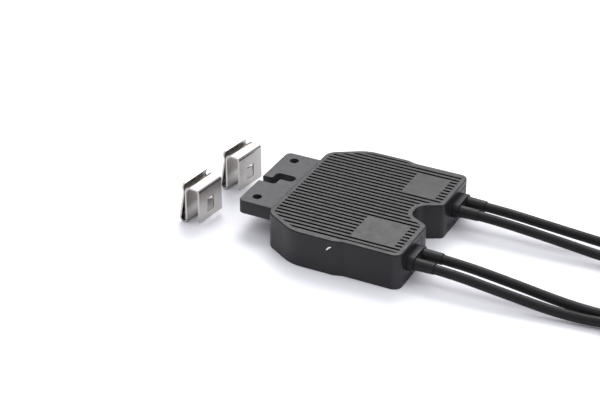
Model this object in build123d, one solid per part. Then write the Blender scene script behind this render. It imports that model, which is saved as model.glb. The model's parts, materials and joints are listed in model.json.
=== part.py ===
"""Module-level power unit for a solar panel: ribbed case, mounting flange, four leads, two spring clips.

Millimetres, +Z up. The origin is under the middle of the case, on the surface it lies on.
+X is the side that the leads leave from, the flange is at -X, and Y runs across the ribs.
"""

import math
import os

from build123d import *

os.makedirs("parts", exist_ok=True)

# Case
CASE_LENGTH = 90.4
WIDE_WIDTH = 107.2
NARROW_WIDTH = 103.8
CASE_HEIGHT = 23.0
STEP_START_X = 4.0
STEP_END_X = 10.0
STEP_RADIUS = 6.0
FACET_LENGTH = 21.7
FACET_DEPTH = 13.1
FACET_END_RADIUS = 9.0
FACET_SIDE_RADIUS = 24.0
LEAD_CORNER_RADIUS = 5.0
NOTCH_MOUTH = 25.6
NOTCH_FLOOR = 11.2
NOTCH_DEPTH = 13.4
NOTCH_MOUTH_RADIUS = 3.0
NOTCH_FLOOR_RADIUS = 8.0
TOP_EDGE_RADIUS = 0.7
WALL = 2.6
ROOF = 4.4

# Ribbed top
RIM = 3.0
GROOVE_PITCH = 3.52
GROOVE_WIDTH = 1.7
GROOVE_DEPTH = 2.0
GROOVE_FIELD_SHIFT = -1.0
GROOVES_FROM = -14
GROOVES_TO = 14
PAD_FROM_GROOVE = 5
PAD_TO_GROOVE = 12
FRONT_PAD_X = (10.0, 37.7)
BACK_PAD_X = (15.6, 37.4)

# Flange
FLANGE_REACH = 24.3
FLANGE_WIDTH = 66.4
FLANGE_TOP = 20.6
FLANGE_THICKNESS = 8.4
FLANGE_RADIUS = 4.0
FLANGE_EDGE = 0.5
HOLE_DIAMETER = 5.8
HOLE_FROM_EDGE = 8.9
HOLE_OFFSET_Y = 24.6
SLOT_NECK_FROM_Y = -6.4
SLOT_HALF_GAP = 0.2
SLOT_INNER_TO_Y = 7.0
SLOT_JOG = (6.5, 11.5)
SLOT_END = 20.2

# Base cover, gasket and screws
REBATE_WALL = 1.3
COVER_THICKNESS = 2.4
GASKET_THICKNESS = 0.8
FIT = 0.2
COVER_BOSS_DIAMETER = 7.0
COVER_BOSSES = ((-31.0, -36.0), (-31.0, 36.0), (37.2, -44.6), (37.2, 44.6))
SCREW_DIAMETER = 2.9
SCREW_HEAD_DIAMETER = 5.4
SCREW_HEAD_HEIGHT = 1.5
SCREW_LENGTH = 11.0
THREAD_CLEARANCE = 0.1

# Board
BOARD_INSET = 4.2
BOARD_UNDERSIDE = 6.2
BOARD_THICKNESS = 1.6
BOARD_BOSS_DIAMETER = 6.4
BOARD_BOSSES = ((-38.0, 0.0), (8.0, -45.4), (8.0, 45.4), (22.4, 0.0))
BOARD_HEAD_HEIGHT = 1.8

# Leads
LEAD_DIAMETER = 6.0
CORE_DIAMETER = 4.0
LEAD_HEIGHT = 12.5
LOBE_CENTRE_Y = 33.2
LEAD_SPACING = 11.6
PANEL_WIDTH = 25.6
PANEL_BOTTOM = 3.4
PANEL_TOP = 19.2
PANEL_GAP = 0.4
PANEL_FLANGE_THICKNESS = 1.4
PANEL_FLANGE_LIP = 0.9
BORE_CLEARANCE = 0.1
BOOT_CLEARANCE = 0.2
BOOT_LENGTH = 4.6
BOOT_HEIGHT = 9.8
SLEEVE_LENGTH = 13.0
SLEEVE_ROOT_DIAMETER = 7.6
SLEEVE_TIP_DIAMETER = 6.9

# Spring clips
SHEET = 1.1
CLIP_WIDTH = 22.4
CHANNEL_GAP = 8.6
FRONT_PLATE_BOTTOM = 3.0
CLIP_HEIGHT = 25.6
CLIP_FRONT_RADIUS = 1.5
CLIP_BACK_RADIUS = 3.6
LEG_BEND_RADIUS = 2.2
LEG_ROOT_X = -15.25
PINCH_HEIGHT = 21.2
PINCH_GAP = 0.2
LIP_BULGE = (0.9, 3.4)
LIP_TOP = (0.5, 6.6)
WINDOW_WIDTH = 6.4
WINDOW_BOTTOM = 7.6
WINDOW_TOP = 16.2
TONGUE_WIDTH = 5.6
TONGUE_LENGTH = 6.2
TONGUE_LEAN = 8.0
TONGUE_GAP = 0.35
CLIPS = {"left": (-89.1, -31.2, -7.7), "right": (-86.1, 14.4, -9.1)}

# Connectors
NUT_DIAMETER = 18.6
NUT_LENGTH = 17.0
SHELL_DIAMETER = 15.6
SHELL_LENGTH = 20.0
NOSE_DIAMETER = 11.6
NOSE_LENGTH = 17.0
CONTACT_DIAMETER = 3.4
ARM_LENGTH = 17.0
ARM_THICKNESS = 2.0
ARM_WIDTH = 6.0

FLUTES = 10
FLUTE_DIAMETER = 2.2
CONNECTORS = {
    "output_lead_1": (336.0, -39.4, "socket"),
    "output_lead_2": (336.0, -19.4, "plug"),
    "input_lead_1": (236.0, 29.6, "plug"),
    "input_lead_2": (236.0, 49.2, "socket"),
}

# Hank that the two output leads are wound into, one round the other, and its ties
HANK_START = (188.0, -9.5)
HANK_STRAIGHT = 75.0
TURN_SPACING = 6.2
HANK_TURNS = 3
HANK_RADIUS = {"output_lead_1": 24.7, "output_lead_2": 18.5}
HANK_RISE = {"output_lead_1": 6.2, "output_lead_2": 6.8}
HANK_BOTTOM = 1.4
TIE_THICKNESS = 1.2
TIE_WIDTH = 4.6
TIE_PLAY = 0.2
TIE_HEAD = (5.4, 4.0, 5.6)

# Free ends of the leads, as hand-placed points; each bend is an arc that fits its two runs
LEAD_IN = {
    "output_lead_1": [
        (70, -39, 12.5),
        (104, -39.2, 8.6),
        (142, -37.8, 3.6),
        (172, -34.2, 4.4),
        (190, -34.2, 4.5),
    ],
    "output_lead_2": [
        (70, -27.4, 12.5),
        (104, -27.1, 8.6),
        (142, -27.4, 3.6),
        (172, -28.0, 4.4),
        (190, -28.0, 4.5),
    ],
}
LEAD_OUT = {
    "output_lead_1": [
        (258, -34.2, 23.0),
        (280, -34.2, 22.6),
        (304, -37.6, 13.6),
        (324, -39.4, 9.3),
    ],
    "output_lead_2": [
        (258, -28.0, 24.8),
        (284, -28.0, 24.6),
        (306, -22.8, 14.6),
        (324, -19.4, 9.3),
    ],
    "input_lead_1": [
        (70, 27.4, 12.5),
        (106, 27.2, 9.6),
        (150, 27.8, 4.4),
        (196, 29.0, 4.2),
        (222, 29.6, 9.3),
    ],
    "input_lead_2": [
        (70, 39.0, 12.5),
        (106, 39.3, 9.6),
        (150, 42.6, 4.4),
        (196, 48.4, 4.2),
        (222, 49.2, 9.3),
    ],
}


def rounded_face(corners):
    """A face inside straight sides, from (x, y, radius) corners, each corner rounded."""
    count = len(corners)
    sides = []
    joins = []
    for i, (x, y, radius) in enumerate(corners):
        here = Vector(x, y)
        back = (Vector(*corners[i - 1][:2]) - here).normalized()
        ahead = (Vector(*corners[(i + 1) % count][:2]) - here).normalized()
        half = math.radians(back.get_angle(ahead)) / 2
        reach = radius / math.tan(half)
        middle = (back + ahead).normalized()
        crest = here + middle * (radius / math.sin(half) - radius)
        joins.append((here + back * reach, crest, here + ahead * reach))
    for i, (start, crest, end) in enumerate(joins):
        sides.append(ThreePointArc(start, crest, end))
        sides.append(Line(end, joins[(i + 1) % count][0]))
    return make_face(Wire(sides))


def inset_corners(corners, inset):
    """The same outline with every side moved inwards, and its corner radii to match."""
    count = len(corners)
    moved = []
    for i, (x, y, radius) in enumerate(corners):
        before = corners[i - 1]
        after = corners[(i + 1) % count]
        along_in = Vector(x - before[0], y - before[1]).normalized()
        along_out = Vector(after[0] - x, after[1] - y).normalized()
        inward_in = Vector(-along_in.Y, along_in.X)
        inward_out = Vector(-along_out.Y, along_out.X)
        turn = along_in.X * along_out.Y - along_in.Y * along_out.X
        share = inset / (1 + inward_in.dot(inward_out))
        corner = Vector(x, y) + (inward_in + inward_out) * share
        kept = radius - inset if turn > 0 else radius + inset
        moved.append((corner.X, corner.Y, max(kept, 0.4)))
    return moved


def case_corners():
    """Corners of the case seen from above, anticlockwise from the front left."""
    end = CASE_LENGTH / 2
    wide = WIDE_WIDTH / 2
    narrow = NARROW_WIDTH / 2
    notch_x = end - NOTCH_DEPTH
    front = [
        (-end, -wide + FACET_DEPTH, FACET_END_RADIUS),
        (-end + FACET_LENGTH, -wide, FACET_SIDE_RADIUS),
        (STEP_START_X, -wide, STEP_RADIUS),
        (STEP_END_X, -narrow, STEP_RADIUS),
        (end, -narrow, LEAD_CORNER_RADIUS),
        (end, -NOTCH_MOUTH / 2, NOTCH_MOUTH_RADIUS),
        (notch_x, -NOTCH_FLOOR / 2, NOTCH_FLOOR_RADIUS),
    ]
    return front + [(x, -y, radius) for x, y, radius in reversed(front)]


def prism(inset, bottom, top):
    """The case's outline, moved inwards, from one height to another."""
    face = rounded_face(inset_corners(case_corners(), inset))
    return Pos(0, 0, bottom) * extrude(face, top - bottom)


def block(x_range, y_range, z_range):
    """A plain block between limits."""
    size = [high - low for low, high in (x_range, y_range, z_range)]
    middle = [(high + low) / 2 for low, high in (x_range, y_range, z_range)]
    return Pos(*middle) * Box(*size)


def post(x, y, diameter, bottom, top):
    """An upright cylinder between two heights."""
    return Pos(x, y, (bottom + top) / 2) * Cylinder(diameter / 2, top - bottom)


def rod(diameter, start_x, end_x, y, z):
    """A cylinder along X."""
    return Pos((start_x + end_x) / 2, y, z) * Rot(0, 90, 0) * Cylinder(diameter / 2, end_x - start_x)


def save(name, *solids):
    """One STEP file for one named piece, or for a group of alike pieces."""
    export_step(solids[0] if len(solids) == 1 else Compound(children=list(solids)), f"parts/{name}.step")


END_X = CASE_LENGTH / 2
CEILING = CASE_HEIGHT - ROOF
CAVITY_BOTTOM = COVER_THICKNESS + GASKET_THICKNESS
FLANGE_EDGE_X = -END_X - FLANGE_REACH
FLANGE_UNDERSIDE = FLANGE_TOP - FLANGE_THICKNESS
HOLE_X = FLANGE_EDGE_X + HOLE_FROM_EDGE
BOARD_TOP = BOARD_UNDERSIDE + BOARD_THICKNESS
LEAD_Y = {
    "output_lead_1": -LOBE_CENTRE_Y - LEAD_SPACING / 2,
    "output_lead_2": -LOBE_CENTRE_Y + LEAD_SPACING / 2,
    "input_lead_1": LOBE_CENTRE_Y - LEAD_SPACING / 2,
    "input_lead_2": LOBE_CENTRE_Y + LEAD_SPACING / 2,
}
LEAD_START_X = END_X + BOOT_LENGTH


def groove_y(number):
    """Middle of the strip between two grooves, or of a groove for a number and a half."""
    return number * GROOVE_PITCH + GROOVE_FIELD_SHIFT


def pads():
    """The two plain pads, as blocks that the grooves stop at."""
    height = (CASE_HEIGHT - GROOVE_DEPTH - 1, CASE_HEIGHT + 1)
    front = block(FRONT_PAD_X, (groove_y(-PAD_TO_GROOVE), groove_y(-PAD_FROM_GROOVE)), height)
    back = block(BACK_PAD_X, (groove_y(PAD_FROM_GROOVE), groove_y(PAD_TO_GROOVE)), height)
    return front + back


def grooves():
    """What the ribbed top leaves out: parallel grooves inside the rim, stopped at the pads."""
    floor = CASE_HEIGHT - GROOVE_DEPTH
    strips = []
    for number in range(GROOVES_FROM, GROOVES_TO + 1):
        middle = groove_y(number + 0.5)
        across = (middle - GROOVE_WIDTH / 2, middle + GROOVE_WIDTH / 2)
        strips.append(block((-END_X, END_X), across, (floor, CASE_HEIGHT + 1)))
    field = prism(RIM, floor - 1, CASE_HEIGHT + 2)
    return Part() + strips & field - pads()


def slot_face():
    """The stepped slot through the flange: a neck open at the edge, then a pocket beside it."""
    jog_start = FLANGE_EDGE_X + SLOT_JOG[0]
    jog_end = FLANGE_EDGE_X + SLOT_JOG[1]
    end = FLANGE_EDGE_X + SLOT_END
    outside = FLANGE_EDGE_X - 5
    corners = [
        (outside, SLOT_NECK_FROM_Y, 0.4),
        (jog_end, SLOT_NECK_FROM_Y, 2.4),
        (jog_end, SLOT_HALF_GAP, 1.2),
        (end, SLOT_HALF_GAP, 3.0),
        (end, SLOT_INNER_TO_Y, 3.0),
        (jog_start, SLOT_INNER_TO_Y, 2.4),
        (jog_start, -SLOT_HALF_GAP, 1.2),
        (outside, -SLOT_HALF_GAP, 0.4),
    ]
    return rounded_face(corners)


def flange():
    """The mounting flange, with two round holes and the slot."""
    half = FLANGE_WIDTH / 2
    inside = -END_X + WALL / 2
    corners = [
        (FLANGE_EDGE_X, -half, FLANGE_RADIUS),
        (inside, -half, 1.0),
        (inside, half, 1.0),
        (FLANGE_EDGE_X, half, FLANGE_RADIUS),
    ]
    plate = Pos(0, 0, FLANGE_UNDERSIDE) * extrude(rounded_face(corners), FLANGE_THICKNESS)
    plate = chamfer(plate.faces().sort_by(Axis.Z)[-1].outer_wire().edges(), FLANGE_EDGE)
    holes = [post(HOLE_X, y, HOLE_DIAMETER, 0, CASE_HEIGHT) for y in (-HOLE_OFFSET_Y, HOLE_OFFSET_Y)]
    return plate - holes - extrude(slot_face(), CASE_HEIGHT)


def panel_opening(middle_y):
    """The window in the case's wall that a lead panel fills."""
    half = PANEL_WIDTH / 2 + PANEL_GAP
    across = (middle_y - half, middle_y + half)
    return block((END_X - WALL - 1, END_X + 1), across, (PANEL_BOTTOM - PANEL_GAP, PANEL_TOP + PANEL_GAP))


def housing():
    """The ribbed case, open below, with its flange and the bosses that the screws go into."""
    outer = prism(0, 0, CASE_HEIGHT)
    outer = fillet(outer.faces().sort_by(Axis.Z)[-1].outer_wire().edges(), TOP_EDGE_RADIUS)
    shell = outer + flange()
    shell -= prism(WALL, CAVITY_BOTTOM, CEILING)
    shell -= prism(REBATE_WALL, -1, CAVITY_BOTTOM)
    shell -= [panel_opening(side * LOBE_CENTRE_Y) for side in (-1, 1)]
    shell -= grooves()
    for x, y in COVER_BOSSES:
        shell += post(x, y, COVER_BOSS_DIAMETER, COVER_THICKNESS, CEILING + 0.5)
    for x, y in BOARD_BOSSES:
        shell += post(x, y, BOARD_BOSS_DIAMETER, BOARD_TOP, CEILING + 0.5)
    bore = SCREW_DIAMETER + 2 * THREAD_CLEARANCE
    for x, y in COVER_BOSSES:
        shell -= post(x, y, bore, COVER_THICKNESS - 1, COVER_THICKNESS + SCREW_LENGTH)
    for x, y in BOARD_BOSSES:
        shell -= post(x, y, bore, BOARD_TOP - 1, BOARD_TOP + SCREW_LENGTH - 3)
    return shell


def base_cover():
    """The flat plate that closes the case from below."""
    plate = prism(REBATE_WALL + FIT, 0, COVER_THICKNESS)
    for x, y in COVER_BOSSES:
        plate -= post(x, y, SCREW_DIAMETER + 2 * FIT, -1, COVER_THICKNESS + 1)
        plate -= post(x, y, SCREW_HEAD_DIAMETER + 2 * FIT, -1, SCREW_HEAD_HEIGHT + FIT)
    return plate


def gasket():
    """The flat ring pressed between the cover and the case's ledge."""
    ring = prism(REBATE_WALL + FIT, COVER_THICKNESS, CAVITY_BOTTOM)
    ring -= prism(WALL, COVER_THICKNESS - 1, CAVITY_BOTTOM + 1)
    for x, y in COVER_BOSSES:
        ring -= post(x, y, COVER_BOSS_DIAMETER + 2 * FIT, COVER_THICKNESS - 1, CAVITY_BOTTOM + 1)
    return ring


def screw(x, y, head_bottom, head_height, length):
    """A pan-head screw that points up."""
    head = post(x, y, SCREW_HEAD_DIAMETER, head_bottom, head_bottom + head_height)
    recess = post(x, y, 2.4, head_bottom - 1, head_bottom + head_height / 2)
    return head + post(x, y, SCREW_DIAMETER, head_bottom, head_bottom + length) - recess


def circuit_board():
    """The board that carries the power stage, notched round the cover's bosses."""
    board = prism(BOARD_INSET, BOARD_UNDERSIDE, BOARD_TOP)
    for x, y in COVER_BOSSES:
        board -= post(x, y, COVER_BOSS_DIAMETER + 1, 0, CASE_HEIGHT)
        board -= block(sorted((x, 2 * x)), sorted((y, 2 * y)), (0, CASE_HEIGHT))
    for x, y in BOARD_BOSSES:
        board -= post(x, y, SCREW_DIAMETER + 2 * FIT, 0, CASE_HEIGHT)
    return board


def potting():
    """The layer of set resin between the cover and the board."""
    layer = prism(WALL + 2 * FIT, COVER_THICKNESS, BOARD_UNDERSIDE)
    panel_x = END_X - WALL - PANEL_FLANGE_THICKNESS - FIT
    layer -= block((panel_x, END_X), (-WIDE_WIDTH, WIDE_WIDTH), (0, CASE_HEIGHT))
    for x, y in COVER_BOSSES:
        layer -= post(x, y, COVER_BOSS_DIAMETER + 2 * FIT, 0, CASE_HEIGHT)
    for x, y in BOARD_BOSSES:
        layer -= post(x, y, SCREW_HEAD_DIAMETER + 2 * FIT, 0, CASE_HEIGHT)
    return layer


def on_board(x, y, length, width, height, lift=0.0):
    """A block that stands on the board."""
    base = BOARD_TOP + lift
    return block((x - length / 2, x + length / 2), (y - width / 2, y + width / 2), (base, base + height))


CHOKES = ((-23.6, -14.0), (-23.6, 14.0))
CHOKE_SIZE = 20.0
CHOKE_HEIGHT = 9.4
CHOKE_LEG = 8.0
CHOKE_WINDOW = 16.4
CHOKE_YOKE = 1.5


def choke_core(x, y):
    """A ferrite core: two yokes, a round middle leg and two outer walls."""
    core = on_board(x, y, CHOKE_SIZE, CHOKE_SIZE, CHOKE_HEIGHT)
    low = BOARD_TOP + CHOKE_YOKE
    high = BOARD_TOP + CHOKE_HEIGHT - CHOKE_YOKE
    core -= post(x, y, CHOKE_WINDOW, low, high)
    core -= block((x - CHOKE_SIZE, x + CHOKE_SIZE), (y - 5, y + 5), (low, high))
    return core + post(x, y, CHOKE_LEG, low, high)


def choke_winding(x, y):
    """The copper coil round the core's middle leg."""
    low = BOARD_TOP + CHOKE_YOKE + FIT
    high = BOARD_TOP + CHOKE_HEIGHT - CHOKE_YOKE - FIT
    return post(x, y, CHOKE_WINDOW - 1, low, high) - post(x, y, CHOKE_LEG + 1, low - 1, high + 1)


TRANSISTOR_X = (-6.0, 8.0)
TRANSISTOR_Y = (-12.0, 12.0)
TRANSISTOR_HEIGHT = 2.4
THERMAL_PAD = 0.6
SPREADER_SIZE = (26.0, 36.0)


def transistor(x, y):
    """A flat power transistor with its leads on one side."""
    body = on_board(x, y, 9.0, 10.0, TRANSISTOR_HEIGHT)
    legs = [on_board(x - 5.5, y + step, 2.0, 0.9, 0.9) for step in (-3.0, 0.0, 3.0)]
    return body + legs


def power_stage():
    """The transistors, their pads and the block that takes their heat to the roof."""
    spots = [(x, y) for x in TRANSISTOR_X for y in TRANSISTOR_Y]
    save("power_transistors", *[transistor(x, y) for x, y in spots])
    pad_lift = TRANSISTOR_HEIGHT
    save("transistor_pads", *[on_board(x, y, 9.0, 10.0, THERMAL_PAD, pad_lift) for x, y in spots])
    middle_x = sum(TRANSISTOR_X) / 2
    spreader_bottom = BOARD_TOP + TRANSISTOR_HEIGHT + THERMAL_PAD
    spreader_top = CEILING - THERMAL_PAD
    across = (middle_x - SPREADER_SIZE[0] / 2, middle_x + SPREADER_SIZE[0] / 2)
    along = (-SPREADER_SIZE[1] / 2, SPREADER_SIZE[1] / 2)
    save("heat_spreader", block(across, along, (spreader_bottom, spreader_top)))
    save("roof_thermal_pad", block(across, along, (spreader_top, CEILING)))


def board_parts():
    """Everything soldered to the board."""
    save("choke_cores", *[choke_core(x, y) for x, y in CHOKES])
    save("choke_windings", *[choke_winding(x, y) for x, y in CHOKES])
    power_stage()
    film = [on_board(x, y, 18.0, 7.5, 9.0) for x in (-14.0, 6.0) for y in (-34.0, 34.0)]
    save("film_capacitors", *film)
    save("processor", on_board(20.2, 13.0, 9.0, 9.0, 1.4))
    save("gate_drivers", on_board(18.4, -9.0, 5.0, 4.0, 1.6), on_board(18.8, 22.0, 5.0, 4.0, 1.6))
    save("signal_transformer", on_board(21.0, -19.0, 11.0, 9.0, 8.0))
    save("shunt_resistors", *[on_board(20.4, y, 6.4, 3.2, 0.9) for y in (-28.5, 29.5)])


TERMINAL_X = (25.0, 33.0)
TERMINAL_SIZE = 6.4


def terminals_and_cores():
    """The four solder posts, and the bare ends of the leads that reach them."""
    posts = []
    cores = []
    inside = END_X - WALL - PANEL_FLANGE_THICKNESS
    for y in LEAD_Y.values():
        across = (y - TERMINAL_SIZE / 2, y + TERMINAL_SIZE / 2)
        posts.append(block(TERMINAL_X, across, (BOARD_TOP, LEAD_HEIGHT + TERMINAL_SIZE / 2)))
        core = rod(CORE_DIAMETER, TERMINAL_X[1], inside, y, LEAD_HEIGHT)
        cores.append(core + rod(LEAD_DIAMETER, inside, LEAD_START_X, y, LEAD_HEIGHT))
    save("solder_terminals", *posts)
    save("lead_ends", *cores)


def lead_panel(side):
    """The plate that closes one lobe's window, with a bore for each of its two leads."""
    middle = side * LOBE_CENTRE_Y
    half = PANEL_WIDTH / 2
    inner_x = END_X - WALL
    plate = block((inner_x, END_X), (middle - half, middle + half), (PANEL_BOTTOM, PANEL_TOP))
    lip = half + PANEL_FLANGE_LIP
    low = max(PANEL_BOTTOM - PANEL_FLANGE_LIP, CAVITY_BOTTOM + FIT)
    high = min(PANEL_TOP + PANEL_FLANGE_LIP, CEILING - FIT)
    flange_x = inner_x - PANEL_FLANGE_THICKNESS
    plate += block((flange_x, inner_x), (middle - lip, middle + lip), (low, high))
    bore = LEAD_DIAMETER + 2 * BORE_CLEARANCE
    for step in (-0.5, 0.5):
        plate -= rod(bore, flange_x - 1, END_X + 1, middle + step * LEAD_SPACING, LEAD_HEIGHT)
    return plate


def lead_boot(side):
    """The moulded boot on one lobe: a block over both leads, and a tapered sleeve on each."""
    middle = side * LOBE_CENTRE_Y
    profile = SlotOverall(LEAD_SPACING + BOOT_HEIGHT, BOOT_HEIGHT)
    boot = Pos(END_X, middle, LEAD_HEIGHT) * Rot(0, 90, 0) * Rot(0, 0, 90) * extrude(profile, BOOT_LENGTH)
    bore = LEAD_DIAMETER + 2 * BOOT_CLEARANCE
    for step in (-0.5, 0.5):
        y = middle + step * LEAD_SPACING
        sleeve_x = END_X + BOOT_LENGTH - 1 + SLEEVE_LENGTH / 2
        sleeve = Cone(SLEEVE_ROOT_DIAMETER / 2, SLEEVE_TIP_DIAMETER / 2, SLEEVE_LENGTH)
        boot += Pos(sleeve_x, y, LEAD_HEIGHT) * Rot(0, 90, 0) * sleeve
    for step in (-0.5, 0.5):
        y = middle + step * LEAD_SPACING
        boot -= rod(bore, END_X - 1, END_X + BOOT_LENGTH + SLEEVE_LENGTH, y, LEAD_HEIGHT)
    return boot


def upright(face, width):
    """A profile drawn as (x, height), given its width across Y."""
    return Pos(0, width / 2, 0) * Rot(90, 0, 0) * extrude(face, width)


CLIP_DEPTH = CHANNEL_GAP + 2 * SHEET
BACK_X = -CLIP_DEPTH + SHEET / 2
LEG_CUT_X = (BACK_X + LEG_ROOT_X) / 2 + 0.15


def clip_channel():
    """The clip's channel: front plate, top, back plate, and half of the bend below it."""
    top = CLIP_HEIGHT - SHEET / 2
    path = FilletPolyline(
        (-SHEET / 2, FRONT_PLATE_BOTTOM),
        (-SHEET / 2, top),
        (BACK_X, top),
        (BACK_X, SHEET / 2),
        (LEG_CUT_X, SHEET / 2),
        radius=[CLIP_FRONT_RADIUS, CLIP_BACK_RADIUS, LEG_BEND_RADIUS],
    )
    channel = upright(trace(path, SHEET), CLIP_WIDTH)
    half = WINDOW_WIDTH / 2
    return channel - block((-SHEET - 1, 1), (-half, half), (WINDOW_BOTTOM, WINDOW_TOP))


def clip_leg():
    """The clip's spring leg: the rest of the bend, the leaning leg, and the lip over its top."""
    pinch_x = -CLIP_DEPTH - PINCH_GAP - SHEET / 2
    path = FilletPolyline(
        (LEG_CUT_X, SHEET / 2),
        (LEG_ROOT_X, SHEET / 2),
        (pinch_x, PINCH_HEIGHT),
        (pinch_x - LIP_BULGE[0], PINCH_HEIGHT + LIP_BULGE[1]),
        (pinch_x + LIP_TOP[0], PINCH_HEIGHT + LIP_TOP[1]),
        radius=[LEG_BEND_RADIUS, 1.6, 3.2],
    )
    return upright(trace(path, SHEET), CLIP_WIDTH)


def clip_tongue():
    """The latch cut from the front plate, leaning into the channel from its root."""
    root = WINDOW_BOTTOM + TONGUE_GAP
    tongue = block((-SHEET, 0), (-TONGUE_WIDTH / 2, TONGUE_WIDTH / 2), (0, TONGUE_LENGTH))
    return Pos(0, 0, root) * Rot(0, -TONGUE_LEAN, 0) * tongue


def place_clips():
    """Both clips where they stand, each as three pieces that flex at their bends."""
    for name, (x, y, turn) in CLIPS.items():
        where = Pos(x, y, 0) * Rot(0, 0, turn)
        save(f"{name}_clip_channel", where * clip_channel())
        save(f"{name}_clip_spring_leg", where * clip_leg())
        save(f"{name}_clip_latch_tongue", where * clip_tongue())


def tube(points, diameter):
    """A lead along straight runs, with an arc at each bend as wide as its runs allow."""
    vectors = [Vector(*point) for point in points]
    runs = [b - a for a, b in zip(vectors, vectors[1:])]
    radii = []
    for before, after in zip(runs, runs[1:]):
        half = math.radians(before.get_angle(after)) / 2
        radii.append(0.45 * min(before.length, after.length) / math.tan(half))
    path = FilletPolyline(*points, radius=radii)
    start = Plane(origin=path @ 0, z_dir=path % 0)
    solid = sweep(start * Circle(diameter / 2), path)
    section = math.pi * (diameter / 2) ** 2
    share = solid.volume / (section * path.length)
    print("lead", round(path.length, 1), "radii", [round(radius) for radius in radii], round(share, 4))
    return solid


def hank_top(name):
    """Height of the top of one lead's turns."""
    return HANK_BOTTOM + LEAD_DIAMETER + HANK_TURNS * HANK_RISE[name]


def hank(name):
    """The outer shape of one lead's turns: a ring with two straight sides."""
    radius = HANK_RADIUS[name]
    middle = (HANK_START[0] + HANK_STRAIGHT / 2, HANK_START[1])
    outside = SlotCenterToCenter(HANK_STRAIGHT, 2 * radius + TURN_SPACING)
    inside = SlotCenterToCenter(HANK_STRAIGHT, 2 * radius - TURN_SPACING)
    return Pos(*middle, HANK_BOTTOM) * extrude(outside - inside, hank_top(name) - HANK_BOTTOM)


def tie(side):
    """A cable tie round both leads' turns, on one of the hank's straight sides."""
    radii = HANK_RADIUS.values()
    near = min(radii) - TURN_SPACING / 2 - TIE_PLAY
    far = max(radii) + TURN_SPACING / 2 + TIE_PLAY
    low = HANK_BOTTOM - TIE_PLAY
    high = max(hank_top(name) for name in HANK_RISE) + TIE_PLAY
    middle = HANK_START[0] + HANK_STRAIGHT / 2
    y_range = sorted((HANK_START[1] + side * near, HANK_START[1] + side * far))
    x_range = (middle - TIE_WIDTH / 2, middle + TIE_WIDTH / 2)
    wide = (y_range[0] - TIE_THICKNESS, y_range[1] + TIE_THICKNESS)
    band = block(x_range, wide, (low - TIE_THICKNESS, high + TIE_THICKNESS))
    band -= block((middle - TIE_WIDTH, middle + TIE_WIDTH), y_range, (low, high))
    head_x = (middle - TIE_HEAD[0] / 2, middle + TIE_HEAD[0] / 2)
    head_z = (high + TIE_THICKNESS - TIE_HEAD[2] / 2, high + TIE_THICKNESS + TIE_HEAD[2] / 2)
    centre = sum(y_range) / 2
    head = block(head_x, (centre - TIE_HEAD[1] / 2, centre + TIE_HEAD[1] / 2), head_z)
    return band + head - block((middle - TIE_WIDTH, middle + TIE_WIDTH), y_range, (low, high))


def connector_nut(x, y, z):
    """The fluted nut that grips the lead."""
    nut = rod(NUT_DIAMETER, x, x + NUT_LENGTH, y, z)
    nut = chamfer(nut.edges().sort_by(Axis.X)[0], 3.0, 2.4)
    for number in range(FLUTES):
        turn = Rot((number + 0.5) * 360 / FLUTES, 0, 0)
        flute = Pos(0, 0, NUT_DIAMETER / 2) * rod(FLUTE_DIAMETER, 4.5, NUT_LENGTH - 1.5, 0, 0)
        nut -= Pos(x, y, z) * turn * flute
    return nut - rod(LEAD_DIAMETER + 2 * BOOT_CLEARANCE, x - 1, x + NUT_LENGTH + 1, y, z)


def plug_shell(x, y, z):
    """A shell whose slim nose has a latch arm on each side."""
    shell = rod(SHELL_DIAMETER, x, x + SHELL_LENGTH, y, z)
    shell += rod(NOSE_DIAMETER, x + SHELL_LENGTH, x + SHELL_LENGTH + NOSE_LENGTH, y, z)
    arm_end = x + SHELL_LENGTH + ARM_LENGTH - 1
    reach = SHELL_DIAMETER / 2
    for side in (-1, 1):
        across = sorted((y + side * (reach - ARM_THICKNESS), y + side * reach))
        shell += block((x + SHELL_LENGTH - 3, arm_end), across, (z - ARM_WIDTH / 2, z + ARM_WIDTH / 2))
        tooth = sorted((y + side * (reach - ARM_THICKNESS), y + side * (reach + 1.2)))
        shell += block((arm_end - 4, arm_end), tooth, (z - ARM_WIDTH / 2, z + ARM_WIDTH / 2))
    hollow = rod(NOSE_DIAMETER - 3.2, x + SHELL_LENGTH + 2, x + SHELL_LENGTH + NOSE_LENGTH + 1, y, z)
    return shell - hollow


def socket_shell(x, y, z):
    """A shell with a wide open mouth, and a window on each side for the other half's arms."""
    length = SHELL_LENGTH + NOSE_LENGTH
    shell = rod(SHELL_DIAMETER, x, x + length, y, z)
    shell -= rod(SHELL_DIAMETER - 3.6, x + SHELL_LENGTH, x + length + 1, y, z)
    window = (x + SHELL_LENGTH + 3, x + SHELL_LENGTH + 8)
    half = ARM_WIDTH / 2 + 0.5
    return shell - block(window, (y - SHELL_DIAMETER, y + SHELL_DIAMETER), (z - half, z + half))


def contact(x, y, z, kind):
    """The metal contact inside a connector: a sleeve in a plug, a pin in a socket."""
    base = x + SHELL_LENGTH + 2 if kind == "plug" else x + SHELL_LENGTH
    tip = x + SHELL_LENGTH + NOSE_LENGTH - 2
    if kind == "plug":
        return rod(CONTACT_DIAMETER + 2, base, tip, y, z) - rod(CONTACT_DIAMETER + 0.4, base + 2, tip + 1, y, z)
    return rod(CONTACT_DIAMETER, base, tip, y, z)


def connector(name, x, y, kind):
    """One lead's connector, lying on the floor."""
    z = NUT_DIAMETER / 2
    shell_x = x + NUT_LENGTH
    shell = plug_shell(shell_x, y, z) if kind == "plug" else socket_shell(shell_x, y, z)
    save(f"{name}_nut", connector_nut(x, y, z))
    save(f"{name}_{kind}_shell", shell)
    save(f"{name}_contact", contact(shell_x, y, z, kind))


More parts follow.
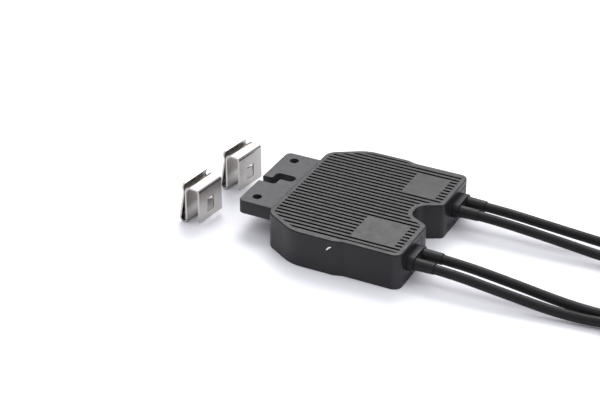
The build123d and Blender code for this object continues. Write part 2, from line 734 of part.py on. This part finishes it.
def leads():
    """Every lead's free length, the hank of the output pair, and what is on them."""
    for name, (nut_x, y, kind) in CONNECTORS.items():
        start = (LEAD_START_X, LEAD_Y[name], LEAD_HEIGHT)
        end = (nut_x + NUT_LENGTH, y, NUT_DIAMETER / 2)
        connector(name, nut_x, y, kind)
        if name not in HANK_RADIUS:
            save(name, tube([start] + LEAD_OUT[name] + [end], LEAD_DIAMETER))
            continue
        save(name, tube([start] + LEAD_IN[name], LEAD_DIAMETER))
        save(f"{name}_turns", hank(name))
        save(f"{name}_tail", tube(LEAD_OUT[name] + [end], LEAD_DIAMETER))
    save("hank_tie_near", tie(-1))
    save("hank_tie_far", tie(1))


save("housing", housing())
save("base_cover", base_cover())
save("cover_gasket", gasket())
save("cover_screws", *[screw(x, y, 0.2, SCREW_HEAD_HEIGHT, SCREW_LENGTH) for x, y in COVER_BOSSES])
head_bottom = BOARD_UNDERSIDE - BOARD_HEAD_HEIGHT
save("board_screws", *[screw(x, y, head_bottom, BOARD_HEAD_HEIGHT, 9.0) for x, y in BOARD_BOSSES])
save("circuit_board", circuit_board())
save("potting_layer", potting())
board_parts()
terminals_and_cores()
for side, name in ((-1, "output"), (1, "input")):
    save(f"{name}_lead_panel", lead_panel(side))
    save(f"{name}_lead_boot", lead_boot(side))
place_clips()
leads()
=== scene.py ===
import json
import math

import bmesh
import bpy
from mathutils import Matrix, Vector


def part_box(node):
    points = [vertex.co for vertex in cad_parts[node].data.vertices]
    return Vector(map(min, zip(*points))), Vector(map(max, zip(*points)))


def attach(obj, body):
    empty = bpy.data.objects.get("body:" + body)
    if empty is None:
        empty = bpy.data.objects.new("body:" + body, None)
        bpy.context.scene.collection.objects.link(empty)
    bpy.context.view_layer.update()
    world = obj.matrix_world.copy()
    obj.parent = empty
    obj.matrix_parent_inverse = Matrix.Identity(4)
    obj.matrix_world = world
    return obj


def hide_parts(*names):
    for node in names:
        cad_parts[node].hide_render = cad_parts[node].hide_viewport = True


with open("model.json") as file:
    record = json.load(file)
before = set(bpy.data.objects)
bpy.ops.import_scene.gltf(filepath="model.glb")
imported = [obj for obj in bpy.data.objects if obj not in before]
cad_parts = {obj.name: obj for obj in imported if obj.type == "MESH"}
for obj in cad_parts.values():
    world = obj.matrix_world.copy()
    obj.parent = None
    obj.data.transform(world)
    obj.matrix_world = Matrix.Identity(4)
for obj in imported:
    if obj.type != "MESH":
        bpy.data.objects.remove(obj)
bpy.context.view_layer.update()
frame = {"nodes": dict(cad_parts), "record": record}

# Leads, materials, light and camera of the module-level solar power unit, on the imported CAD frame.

MM = 0.001

# Camera, in millimetres of the frame
CAMERA_AT = (396.2, -870.7, 583.9)
CAMERA_AIM = (-51.6, 14.6, 0.0)
CAMERA_LENS = 111.3

# Small slanted white mark on the front wall: along the wall, and height, in millimetres
TICK_AT = (1.2, 17.4)

# Leads, repeated from the part's source, in millimetres
LEAD_DIAMETER = 6.0
LEAD_START_X = 49.8
LEAD_HEIGHT = 12.5
HANK_START = (188.0, -9.5)
HANK_STRAIGHT = 75.0
HANK_TURNS = 3
HANK_FIRST_Z = 4.4
POINTS_ROUND_END = 5
LEADS = {
    "output_lead_1": {
        "start_y": -39.0,
        "way_in": [(70, -39, 12.5), (104, -39.2, 8.6), (142, -37.8, 3.6), (172, -34.2, 4.4)],
        "radius": 24.7,
        "rise": 6.2,
        "way_out": [(280, -34.2, 22.6), (304, -37.6, 13.6), (324, -39.4, 9.3), (353, -39.4, 9.3)],
        "kind": "socket",
        "length": 1.19,
    },
    "output_lead_2": {
        "start_y": -27.4,
        "way_in": [(70, -27.4, 12.5), (104, -27.1, 8.6), (142, -27.4, 3.6), (172, -28.0, 4.4)],
        "radius": 18.5,
        "rise": 6.8,
        "way_out": [(284, -28.0, 24.6), (306, -22.8, 14.6), (324, -19.4, 9.3), (353, -19.4, 9.3)],
        "kind": "plug",
        "length": 1.08,
    },
    "input_lead_1": {
        "start_y": 27.4,
        "way_out": [(70, 27.4, 12.5), (106, 27.2, 9.6), (150, 27.8, 4.4), (196, 29.0, 4.2),
                    (222, 29.6, 9.3), (253, 29.6, 9.3)],
        "kind": "plug",
        "length": 0.204,
    },
    "input_lead_2": {
        "start_y": 39.0,
        "way_out": [(70, 39.0, 12.5), (106, 39.3, 9.6), (150, 42.6, 4.4), (196, 48.4, 4.2),
                    (222, 49.2, 9.3), (253, 49.2, 9.3)],
        "kind": "socket",
        "length": 0.205,
    },
}


# Materials

def new_material(name):
    """An empty node material with its output's shader, and its object coordinates."""
    material = bpy.data.materials.new(name)
    material.use_nodes = True
    nodes = material.node_tree.nodes
    shader = nodes["Principled BSDF"]
    coordinates = nodes.new("ShaderNodeTexCoord").outputs["Object"]
    return material, shader, coordinates


def noise(tree, vector, scale, detail=4.0, stretch=None):
    """A noise texture's value; its scale is in waves per metre."""
    if stretch:
        mapping = tree.nodes.new("ShaderNodeMapping")
        mapping.inputs["Scale"].default_value = stretch
        tree.links.new(vector, mapping.inputs["Vector"])
        vector = mapping.outputs["Vector"]
    texture = tree.nodes.new("ShaderNodeTexNoise")
    texture.inputs["Scale"].default_value = scale
    texture.inputs["Detail"].default_value = detail
    tree.links.new(vector, texture.inputs["Vector"])
    return texture.outputs["Fac"]


def ramp(tree, value, stops):
    """A colour ramp over a value, from (position, colour) stops."""
    node = tree.nodes.new("ShaderNodeValToRGB")
    band = node.color_ramp
    while len(band.elements) < len(stops):
        band.elements.new(0.5)
    for element, (position, colour) in zip(band.elements, stops):
        element.position = position
        element.color = (*colour, 1.0)
    tree.links.new(value, node.inputs["Fac"])
    return node.outputs["Color"]


def scaled(colour, factor):
    """A colour made lighter or darker."""
    return tuple(min(1.0, channel * factor) for channel in colour)


def bump(tree, value, strength, distance, under=None):
    """A bump from a height, on top of another bump."""
    node = tree.nodes.new("ShaderNodeBump")
    node.inputs["Strength"].default_value = strength
    node.inputs["Distance"].default_value = distance
    tree.links.new(value, node.inputs["Height"])
    if under:
        tree.links.new(under, node.inputs["Normal"])
    return node.outputs["Normal"]


def grey(value):
    """A neutral colour, very slightly cool."""
    return (value, value, value * 1.04)


def moulded(
    name, colour, roughness, grain=2600.0, grain_depth=0.00006, mottle=0.12, edge_highlight=1.35, sheen=0.5
):
    """Moulded plastic or rubber: fine grain, cloudy tone, and convex edges painted lighter as a painted
    highlight.
    """
    material, shader, where = new_material(name)
    tree = material.node_tree
    shader.inputs["Specular IOR Level"].default_value = sheen
    cloud = noise(tree, where, 60.0, 6.0)
    tone = ramp(tree, cloud, [(0.3, scaled(colour, 1 - mottle)), (0.7, scaled(colour, 1 + mottle))])
    # Convex edges, picked out by pointiness, are painted lighter: a painted highlight where a rounded edge
    # would catch the light.
    geometry = tree.nodes.new("ShaderNodeNewGeometry")
    edge_highlight_mask = tree.nodes.new("ShaderNodeMapRange")
    edge_highlight_mask.inputs["From Min"].default_value = 0.53
    edge_highlight_mask.inputs["From Max"].default_value = 0.62
    tree.links.new(geometry.outputs["Pointiness"], edge_highlight_mask.inputs["Value"])
    mix = tree.nodes.new("ShaderNodeMix")
    mix.data_type = "RGBA"
    tree.links.new(edge_highlight_mask.outputs["Result"], mix.inputs["Factor"])
    tree.links.new(tone, mix.inputs["A"])
    mix.inputs["B"].default_value = (*scaled(colour, edge_highlight), 1.0)
    tree.links.new(mix.outputs["Result"], shader.inputs["Base Color"])
    patch = noise(tree, where, 240.0, 5.0)
    gloss = ramp(tree, patch, [(0.3, grey(roughness - 0.06)), (0.7, grey(roughness + 0.06))])
    tree.links.new(gloss, shader.inputs["Roughness"])
    fine = bump(tree, noise(tree, where, grain, 2.0), 0.5, grain_depth)
    tree.links.new(fine, shader.inputs["Normal"])
    return material


def rolled_metal(name, colour, roughness, along=(1.0, 1.0, 0.06), metallic=1.0):
    """Sheet or machined metal: fine lines one way, faint smudges."""
    material, shader, where = new_material(name)
    tree = material.node_tree
    shader.inputs["Metallic"].default_value = metallic
    lines = noise(tree, where, 1800.0, 3.0, along)
    smudge = noise(tree, where, 90.0, 4.0)
    tone = ramp(tree, lines, [(0.3, scaled(colour, 0.93)), (0.7, scaled(colour, 1.05))])
    tree.links.new(tone, shader.inputs["Base Color"])
    gloss = ramp(tree, smudge, [(0.3, grey(roughness - 0.05)), (0.7, grey(roughness + 0.07))])
    tree.links.new(gloss, shader.inputs["Roughness"])
    tree.links.new(bump(tree, lines, 0.25, 0.00002), shader.inputs["Normal"])
    return material


def sheath(name, colour):
    """Cable sheath: dull black, cloudier and with a coarser, shallower grain than the plastics."""
    return moulded(
        name, colour, 0.5, grain=900.0, grain_depth=0.00003, mottle=0.2, edge_highlight=1.1, sheen=0.25
    )


def make_materials():
    """Every material by the record's slot name."""
    return {
        # The case gets the strongest painted edge highlight, on its rims and rib edges.
        "case": moulded("case_black", (0.0095, 0.0093, 0.0105), 0.36, edge_highlight=3.0, sheen=0.26),
        "cover": moulded("cover_black", grey(0.03), 0.6),
        "gasket": moulded("gasket_rubber", grey(0.015), 0.8),
        "screws": rolled_metal("zinc_steel", (0.62, 0.62, 0.60), 0.32),
        "resin": moulded("potting_resin", grey(0.014), 0.3, grain=400.0),
        "board": moulded("board_mask", (0.012, 0.11, 0.035), 0.35, grain=5200.0),
        "ferrite": moulded("ferrite", grey(0.045), 0.7),
        "copper": rolled_metal("copper_wire", (0.75, 0.32, 0.14), 0.3, (0.1, 0.1, 1.6)),
        "capacitor": moulded("film_capacitor", (0.42, 0.30, 0.16), 0.45),
        "package": moulded("chip_package", grey(0.018), 0.45),
        "thermal_pad": moulded("thermal_pad", (0.30, 0.36, 0.50), 0.85),
        "spreader": rolled_metal("milled_aluminium", (0.78, 0.78, 0.79), 0.36),
        "terminal": rolled_metal("tinned_terminal", (0.70, 0.68, 0.64), 0.3),
        "lead": sheath("cable_sheath", grey(0.006)),
        "panel": moulded("panel_black", (0.011, 0.011, 0.012), 0.4, sheen=0.28),
        "boot": moulded("boot_rubber", grey(0.006), 0.5, grain=1500.0, sheen=0.3),
        "tie": moulded("tie_nylon", grey(0.012), 0.4),
        "spring_steel": rolled_metal("rolled_steel", (0.44, 0.425, 0.405), 0.20),
        "connector": moulded("connector_black", grey(0.014), 0.42),
        "contact": rolled_metal("tinned_contact", (0.70, 0.68, 0.64), 0.25),
    }


def dress_cad_nodes(materials):
    """Gives each CAD node that stays the material of its slot."""
    for row in frame["record"]["subparts"]:
        node = frame["nodes"][row["node"]]
        node.data.materials.clear()
        node.data.materials.append(materials[row["material_slot"]])


# Leads

def hank_points(radius, rise):
    """Control points of one lead's turns: two straight sides and two round ends, rising all the way."""
    start_x, middle_y = HANK_START
    outline = [(start_x + HANK_STRAIGHT * share, middle_y - radius) for share in (0.0, 0.5, 1.0)]
    for step in range(1, POINTS_ROUND_END):
        angle = math.pi * step / POINTS_ROUND_END
        spread = radius / math.cos(math.pi / POINTS_ROUND_END / 2)
        far_x = start_x + HANK_STRAIGHT + spread * math.sin(angle)
        outline.append((far_x, middle_y - spread * math.cos(angle)))
    outline += [(start_x + HANK_STRAIGHT * share, middle_y + radius) for share in (1.0, 0.5, 0.0)]
    for step in range(1, POINTS_ROUND_END):
        angle = math.pi * step / POINTS_ROUND_END
        spread = radius / math.cos(math.pi / POINTS_ROUND_END / 2)
        outline.append((start_x - spread * math.sin(angle), middle_y + spread * math.cos(angle)))
    points = []
    for number in range(HANK_TURNS * len(outline) + 2):
        x, y = outline[number % len(outline)]
        points.append((x, y, HANK_FIRST_Z + rise * number / len(outline)))
    return points


def lead(name, facts, material):
    """One lead as a smooth curve in place of its CAD nodes, which are hidden; its connector's CAD nodes
    are listed but not moved onto it.
    """
    points = [(LEAD_START_X, facts["start_y"], LEAD_HEIGHT)]
    replaced = [name]
    if "radius" in facts:
        points += facts["way_in"] + hank_points(facts["radius"], facts["rise"])
        replaced += [f"{name}_turns", f"{name}_tail"]
    points += facts["way_out"]
    curve = bpy.data.curves.new(f"{name}_sheath", "CURVE")
    curve.dimensions = "3D"
    curve.bevel_depth = LEAD_DIAMETER / 2 * MM
    curve.bevel_resolution = 6
    curve.resolution_u = 8
    curve.use_fill_caps = True
    spline = curve.splines.new("NURBS")
    spline.points.add(len(points) - 1)
    for target, point in zip(spline.points, points):
        target.co = (*(value * MM for value in point), 1.0)
    spline.order_u = 3
    spline.use_endpoint_u = True
    curve.materials.append(material)
    piece = bpy.data.objects.new(f"{name}_sheath", curve)
    bpy.context.collection.objects.link(piece)
    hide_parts(*replaced)
    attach(piece, "unit")
    on_it = [f"{name}_nut", f"{name}_{facts['kind']}_shell", f"{name}_contact"]
    if name == "output_lead_1":
        on_it += ["hank_tie_near", "hank_tie_far"]


def white_tick_mark():
    """The small slanted white mark on the front wall, a hair proud of it."""
    wall_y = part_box("housing")[0][1]
    mesh = bpy.data.meshes.new("white_tick_mark")
    builder = bmesh.new()
    outline = [(-1.7, -1.2), (-0.9, -1.5), (0.4, 0.1), (1.8, 1.1), (1.3, 1.6), (-0.3, 0.7)]
    rings = []
    for lift, shrink in ((-0.02, 1.0), (0.10, 0.94), (0.16, 0.72)):
        ring = []
        for x, z in outline:
            place = (TICK_AT[0] + x * shrink, wall_y / MM - lift, TICK_AT[1] + z * shrink)
            ring.append(builder.verts.new([value * MM for value in place]))
        rings.append(ring)
    for lower, upper in zip(rings, rings[1:]):
        for i in range(len(outline)):
            j = (i + 1) % len(outline)
            builder.faces.new((lower[i], lower[j], upper[j], upper[i]))
    builder.faces.new(rings[-1])
    builder.normal_update()
    builder.to_mesh(mesh)
    builder.free()
    piece = bpy.data.objects.new("white_tick_mark", mesh)
    bpy.context.collection.objects.link(piece)
    piece.data.materials.append(moulded("white_tick_colour", grey(0.85), 0.35, mottle=0.03, edge_highlight=1.0))
    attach(piece, "unit")


# Camera, floor and light

def make_camera():
    """The camera at the viewing angle."""
    camera = bpy.data.cameras.new("camera")
    camera.lens = CAMERA_LENS
    camera.sensor_width = 36.0
    camera.clip_start = 0.05
    viewer = bpy.data.objects.new("camera", camera)
    bpy.context.collection.objects.link(viewer)
    at = Vector(CAMERA_AT) * MM
    viewer.location = at
    viewer.rotation_euler = (Vector(CAMERA_AIM) * MM - at).to_track_quat("-Z", "Y").to_euler()
    bpy.context.scene.camera = viewer


def area_light(name, at, aim, size, power):
    """A soft square lamp."""
    lamp = bpy.data.lights.new(name, "AREA")
    lamp.size = size
    lamp.energy = power
    holder = bpy.data.objects.new(name, lamp)
    bpy.context.collection.objects.link(holder)
    holder.location = at
    holder.rotation_euler = (Vector(aim) - Vector(at)).to_track_quat("-Z", "Y").to_euler()


def make_floor():
    """A white floor with a faint tone of its own."""
    bpy.ops.mesh.primitive_plane_add(size=12.0, location=(0, 0, -0.0002))
    floor = bpy.context.object
    floor.name = "floor"
    material, shader, where = new_material("floor_white")
    tree = material.node_tree
    cloud = noise(tree, where, 3.0, 2.0)
    tree.links.new(ramp(tree, cloud, [(0.3, grey(0.90)), (0.7, grey(0.915))]), shader.inputs["Base Color"])
    shader.inputs["Roughness"].default_value = 0.9
    floor.data.materials.append(material)


def light_scene():
    """A pale world, a large soft lamp above, and a weaker one at the right."""
    world = bpy.data.worlds.new("world")
    bpy.context.scene.world = world
    world.use_nodes = True
    tree = world.node_tree
    background = tree.nodes["Background"]
    ray = tree.nodes.new("ShaderNodeLightPath")
    where = tree.nodes.new("ShaderNodeTexCoord")
    height = tree.nodes.new("ShaderNodeSeparateXYZ")
    tree.links.new(where.outputs["Generated"], height.inputs["Vector"])
    sky = [(0.0, grey(0.10)), (0.22, grey(0.16)), (0.5, grey(0.95)), (1.0, grey(1.0))]
    studio = ramp(tree, height.outputs["Z"], sky)
    seen = tree.nodes.new("ShaderNodeMix")
    seen.data_type = "RGBA"
    tree.links.new(ray.outputs["Is Camera Ray"], seen.inputs["Factor"])
    tree.links.new(studio, seen.inputs["A"])
    seen.inputs["B"].default_value = (1.0, 1.0, 1.0, 1.0)
    tree.links.new(seen.outputs["Result"], background.inputs["Color"])
    background.inputs["Strength"].default_value = 1.0
    area_light("key", (-0.35, 0.9, 1.1), (0, 0, 0), 0.9, 16.0)
    area_light("right", (1.6, -0.1, 0.8), (0, 0, 0), 0.8, 10.0)
    bpy.context.scene.view_settings.view_transform = "Standard"


materials = make_materials()
dress_cad_nodes(materials)
make_camera()
for lead_name, lead_facts in LEADS.items():
    lead(lead_name, lead_facts, materials["lead"])
white_tick_mark()
make_floor()
light_scene()
